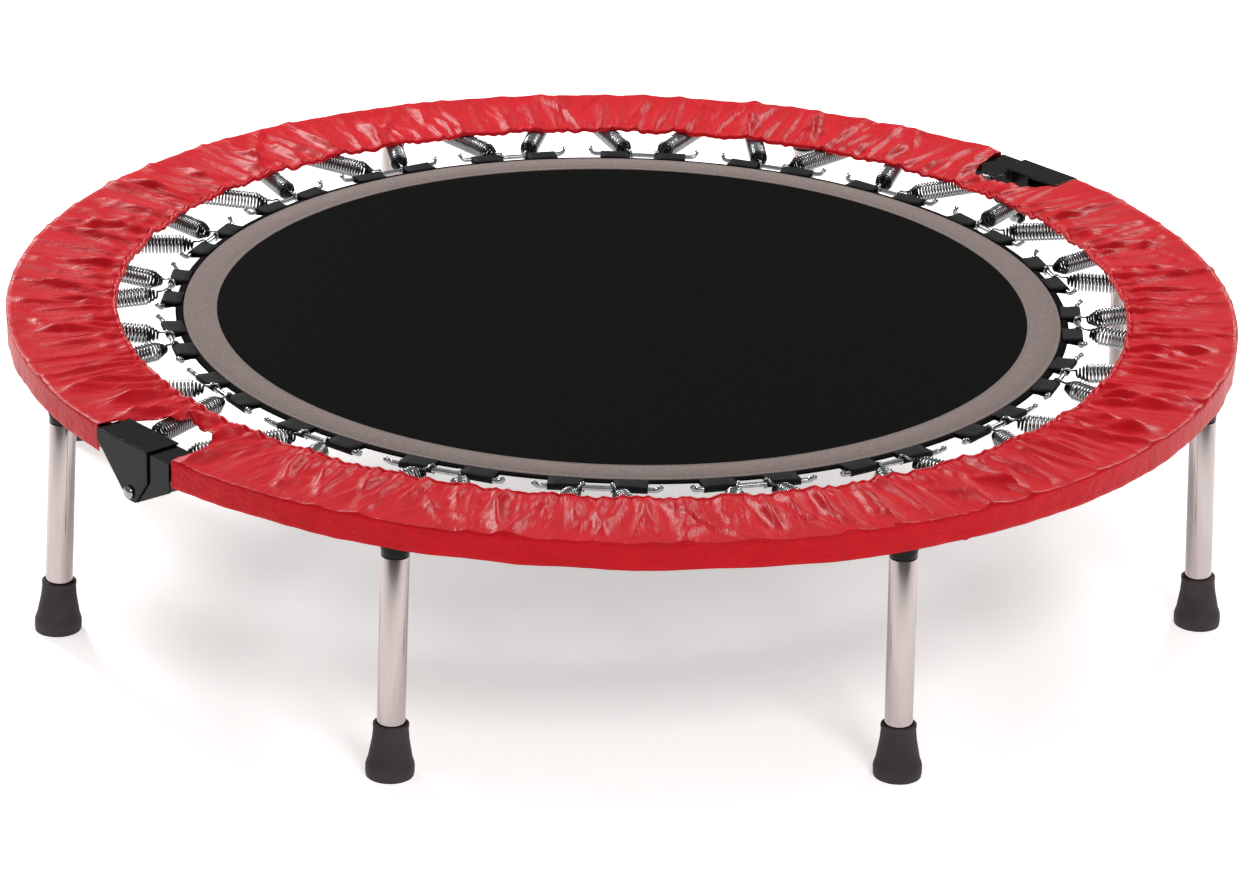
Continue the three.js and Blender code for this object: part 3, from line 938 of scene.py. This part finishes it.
def settle(made, shares):
    """Lets the folds relax as cloth cut longer inside than it hangs, held at hem and skirt."""
    outer, inner = sizes().cover_radius, sizes().cover_inner
    made.shape_key_add(name="placed", from_mix=False)
    cut = made.shape_key_add(name="cut", from_mix=False)
    width = outer - inner
    for i, (vert, share) in enumerate(zip(made.data.vertices, shares)):
        angle = math.atan2(vert.co.y, vert.co.x)
        if share <= 1:
            full = outer - width * PULLED_IN * (1 - share)
            drop = width * (1 - share)
            cut.data[i].co = (full * math.cos(angle), full * math.sin(angle), vert.co.z - drop)
    held = made.vertex_groups.new(name="held")
    held.add([i for i, share in enumerate(shares) if share >= 1 or share < 0.001], 1, "REPLACE")
    cloth = made.modifiers.new("gathers", "CLOTH")
    cloth.settings.quality = 6
    cloth.settings.mass = 0.15
    cloth.settings.tension_stiffness = 25
    cloth.settings.compression_stiffness = 25
    cloth.settings.shear_stiffness = 4
    cloth.settings.bending_stiffness = 0.12
    cloth.settings.air_damping = 4
    cloth.settings.vertex_group_mass = "held"
    cloth.settings.rest_shape_key = cut
    cloth.settings.effector_weights.gravity = 0.06
    cloth.point_cache.frame_start = 1
    cloth.point_cache.frame_end = SETTLE_FRAMES
    for step in range(1, SETTLE_FRAMES + 1):
        bpy.context.scene.frame_set(step)
    settled = bpy.data.meshes.new_from_object(made.evaluated_get(bpy.context.evaluated_depsgraph_get()))
    made.shape_key_clear()
    made.modifiers.clear()
    made.vertex_groups.clear()
    made.data = settled
    bpy.context.scene.frame_set(1)


class TRAMPOLINE_OT_cover(bpy.types.Operator):
    """Build the loose nylon spring cover with its gathered hem, skirt and hinge cut-outs"""

    bl_idname = "trampoline.cover"
    bl_label = "Spring Cover"

    def execute(self, context):
        bm = strip_mesh()
        self.prepare(bm, bm.verts.layers.float["share"])
        made = to_object(bm, "spring_cover", "cover")
        shares = np.zeros(len(made.data.vertices), np.float32)
        made.data.attributes["share"].data.foreach_get("value", shares)
        settle(made, shares)
        self.shape(made, shares)
        thicken(made, 0.7 * MM, -1)
        hem = self.hem()
        for piece in (made, hem):
            blend_over_fold(piece)
        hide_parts("cover_rear", "cover_front")
        return {"FINISHED"}

    def prepare(self, bm, share_of):
        """Starts the folds, and gives the skirt a faint unevenness."""
        places = np.array([vert.co for vert in bm.verts])
        shares = np.array([vert[share_of] for vert in bm.verts])
        angles = np.arctan2(places[:, 1], places[:, 0])
        heights = gathers(angles, shares)
        for row in np.unique(shares):
            heights[shares == row] -= heights[shares == row].mean()
        for vert, share, height in zip(bm.verts, shares, heights):
            outward = outward_from(vert.co)
            rim = max(0, 1 - abs(share - 1) / 0.12)
            vert.co.z += 0.8 * MM * noise.noise(outward * 42) * rim
            vert.co += outward * 0.6 * MM * noise.noise(outward * 55) * rim
            if share <= 1:
                vert.co.z += height
                vert.co += hem_drift(outward, height) * (1 - share)
            else:
                drop = share - 1
                wave = noise.noise(outward * 13) + 0.6 * noise.noise(outward * 37)
                vert.co += outward * (-0.8 * MM + 1.5 * MM * wave) * drop
                vert.co.z += 2.2 * MM * noise.noise(outward * 9 + Vector((0, 0, 5))) * drop

    def shape(self, made, shares):
        """Keeps the cloth above the springs, sews the seams and cuts the openings over the hinges."""
        bm = bmesh.new()
        bm.from_mesh(made.data)
        bm.verts.ensure_lookup_table()
        soft = 1.2 * MM
        for vert, share in zip(bm.verts, shares):
            angle = math.atan2(vert.co.y, vert.co.x)
            if share <= 1:
                above = (vert.co.z - COVER_UNDER) / soft
                vert.co.z = COVER_UNDER + soft * (above if above > 20 else math.log1p(math.exp(above)))
                vert.co.z -= hem_sag(angle) * max(0, 1 - 2.5 * share) ** 2
                vert.co.z -= CASING_DEEP * math.exp(-((share - CASING_AT) / CASING_WIDE) ** 2)
            for seam in SEAMS:
                aside = math.remainder(angle - seam, math.tau) * sizes().cover_radius
                vert.co.z -= 1.6 * MM * math.exp(-(aside / (2.6 * MM)) ** 2) * min(1, 1.5 * share)
        self.cut_notches(bm)
        bm.to_mesh(made.data)
        bm.free()

    def cut_notches(self, bm):
        """Opens the cover over both hinges along a curve, and lays the cut edge on that curve."""
        outer = sizes().cover_radius
        middle, half = (NOTCH_LOW + NOTCH_HIGH) / 2, (NOTCH_HIGH - NOTCH_LOW) / 2
        gone = []
        for face in bm.faces:
            spot = face.calc_center_median()
            away = abs(spot.y * math.copysign(1, spot.x) - middle) / half
            if away < 1 and spot.xy.length > notch_reach(away):
                gone.append(face)
        rim = {vert for face in gone for vert in face.verts}
        bmesh.ops.delete(bm, geom=gone, context="FACES")
        for vert in [v for v in rim if v.is_valid]:
            side = math.copysign(1, vert.co.x)
            along, reach = vert.co.y * side, vert.co.xy.length
            away = min(1, abs(along - middle) / half)
            curve = notch_reach(away)
            depth = min(1, max(0, (outer - reach) / NOTCH_DEPTH))
            across = middle + math.copysign(half * (1 - depth) ** 0.25, along - middle)
            if away < 1 and abs(reach - curve) < abs(across - along):
                vert.co.xy *= curve / reach
            else:
                along = across
                vert.co.xy = (side * math.sqrt(reach ** 2 - along ** 2), along * side)

    def hem(self):
        """The elastic casing along the inner edge: a soft gathered roll that hangs under the cloth."""
        bm = bmesh.new()
        inner = sizes().cover_inner
        circle = bmesh.ops.create_circle(
            bm, segments=10, radius=HEM_RADIUS,
            matrix=Matrix.Translation((inner, 0, HEM_Z)) @ Matrix.Rotation(math.pi / 2, 4, "X"))
        spun(bm, circle["verts"], edges_of(circle["verts"]), COVER_STEPS)
        places = np.array([vert.co for vert in bm.verts])
        heights = gathers(np.arctan2(places[:, 1], places[:, 0]), np.zeros(len(places)))
        heights -= heights.mean()
        for vert, height in zip(bm.verts, heights):
            outward = outward_from(vert.co)
            middle = Vector((0, 0, HEM_Z)) + outward * inner
            pinch = 1 + 0.25 * noise.noise(outward * 60)
            vert.co = middle + (vert.co - middle) * pinch
            vert.co.z += 0.8 * height - hem_sag(math.atan2(vert.co.y, vert.co.x))
            vert.co += hem_drift(outward, height)
        return to_object(bm, "elastic_hem", "cover")


# ---------------------------------------------------------------- stage

CAMERA_PLACE = Vector((0, -4.441, 1.972))
CAMERA_TURN = math.radians(-42.7)
CAMERA_PITCH = -0.3993
CAMERA_YAW = 0.0017
CAMERA_ROLL = 0.0275
CAMERA_LENS = 137.3
LIGHT_TARGET = Vector((0, 0, 0.2))
# Name, place in the camera's heading, side in metres and power in watts
LIGHTS = [
    ("key", (-2.0, 2.7, 2.2), 0.9, 115),
    ("fill", (1.4, -3.0, 3.4), 1.2, 62),
    ("back", (1.9, 3.0, 2.3), 0.8, 70),
]


def plain_surface(name, base, roughness, glow):
    """A backlit sheet of paper: its own light keeps the shadows on it pale."""
    material, tree, shader = start_material(
        name, base, Roughness=roughness, Emission_Color=(*base, 1), Emission_Strength=glow)
    vary_colour(tree, shader, clouds(tree, object_place(tree), 3, 3), 0.2, 0.8, shade(base, 0.99), base)
    return material


def soft_light(name, place, size, power):
    light = bpy.data.lights.new(name, "AREA")
    light.shape = "RECTANGLE"
    light.size = light.size_y = size
    light.energy = power
    made = bpy.data.objects.new(name, light)
    made.location = place
    made.rotation_euler = (LIGHT_TARGET - place).to_track_quat("-Z", "Y").to_euler()
    bpy.context.scene.collection.objects.link(made)


class TRAMPOLINE_OT_stage(bpy.types.Operator):
    """Set up the pale floor, the soft studio lights and the camera"""

    bl_idname = "trampoline.stage"
    bl_label = "Studio"

    def execute(self, context):
        self.camera(context)
        self.floor()
        self.lights(context)
        return {"FINISHED"}

    def camera(self, context):
        data = bpy.data.cameras.new("studio_camera")
        data.sensor_width = 36
        data.lens = CAMERA_LENS
        made = bpy.data.objects.new("studio_camera", data)
        turn = Matrix.Rotation(CAMERA_TURN, 4, "Z")
        ahead = turn.to_3x3() @ Vector((math.sin(CAMERA_YAW) * math.cos(CAMERA_PITCH),
                                        math.cos(CAMERA_YAW) * math.cos(CAMERA_PITCH),
                                        math.sin(CAMERA_PITCH)))
        right = ahead.cross(Vector((0, 0, 1))).normalized()
        up = right.cross(ahead)
        right_rolled = math.cos(CAMERA_ROLL) * right + math.sin(CAMERA_ROLL) * up
        up_rolled = math.cos(CAMERA_ROLL) * up - math.sin(CAMERA_ROLL) * right
        rotation = Matrix((right_rolled, up_rolled, -ahead)).transposed().to_4x4()
        made.matrix_world = Matrix.Translation(turn @ CAMERA_PLACE) @ rotation
        context.scene.collection.objects.link(made)
        context.scene.camera = made

    def floor(self):
        bm = bmesh.new()
        bmesh.ops.create_grid(bm, x_segments=8, y_segments=8, size=14)
        mesh = bpy.data.meshes.new("studio_floor")
        bm.to_mesh(mesh)
        bm.free()
        mesh.materials.append(plain_surface("matte_paper", hex_rgb("F4F3F2"), 0.9, 0.62))
        made = bpy.data.objects.new("studio_floor", mesh)
        bpy.context.scene.collection.objects.link(made)

    def lights(self, context):
        world = bpy.data.worlds.new("studio_world")
        context.scene.world = world
        world.use_nodes = True
        tree = world.node_tree
        background = tree.nodes["Background"]
        background.inputs["Strength"].default_value = 0.45
        sky = node(tree, "ShaderNodeSeparateXYZ",
                   [("Vector", node(tree, "ShaderNodeTexCoord").outputs["Generated"])])
        tree.links.new(ramp(tree, sky.outputs["Z"], 0.05, 0.75, (0.16, 0.16, 0.16), (1, 1, 1)),
                       background.inputs["Color"])
        turn = Matrix.Rotation(CAMERA_TURN, 4, "Z")
        for name, place, size, power in LIGHTS:
            soft_light(name, turn @ Vector(place), size, power)
        context.scene.view_settings.view_transform = "Standard"


# ---------------------------------------------------------------- panel and registration

STEPS = ["stage", "frame", "hinges", "legs", "springs", "mat", "cover"]


class TRAMPOLINE_PT_panel(bpy.types.Panel):
    bl_label = "Mini Trampoline"
    bl_idname = "TRAMPOLINE_PT_panel"
    bl_space_type = "VIEW_3D"
    bl_region_type = "UI"
    bl_category = "Trampoline"

    def draw(self, context):
        for group in (context.scene.trampoline_sizes, context.scene.trampoline_colours):
            for name in group.__annotations__:
                self.layout.prop(group, name)
        for step in STEPS:
            self.layout.operator(f"trampoline.{step}")


CLASSES = (
    TrampolineSizes, TrampolineColours, TRAMPOLINE_OT_stage, TRAMPOLINE_OT_frame, TRAMPOLINE_OT_hinges,
    TRAMPOLINE_OT_legs, TRAMPOLINE_OT_springs, TRAMPOLINE_OT_mat, TRAMPOLINE_OT_cover, TRAMPOLINE_PT_panel,
)


def register():
    for cls in CLASSES:
        bpy.utils.register_class(cls)
    bpy.types.Scene.trampoline_sizes = PointerProperty(type=TrampolineSizes)
    bpy.types.Scene.trampoline_colours = PointerProperty(type=TrampolineColours)


def unregister():
    del bpy.types.Scene.trampoline_colours
    del bpy.types.Scene.trampoline_sizes
    for cls in reversed(CLASSES):
        bpy.utils.unregister_class(cls)


def main():
    register()
    for step in STEPS:
        getattr(bpy.ops.trampoline, step)()


if __name__ == "__main__":
    main()
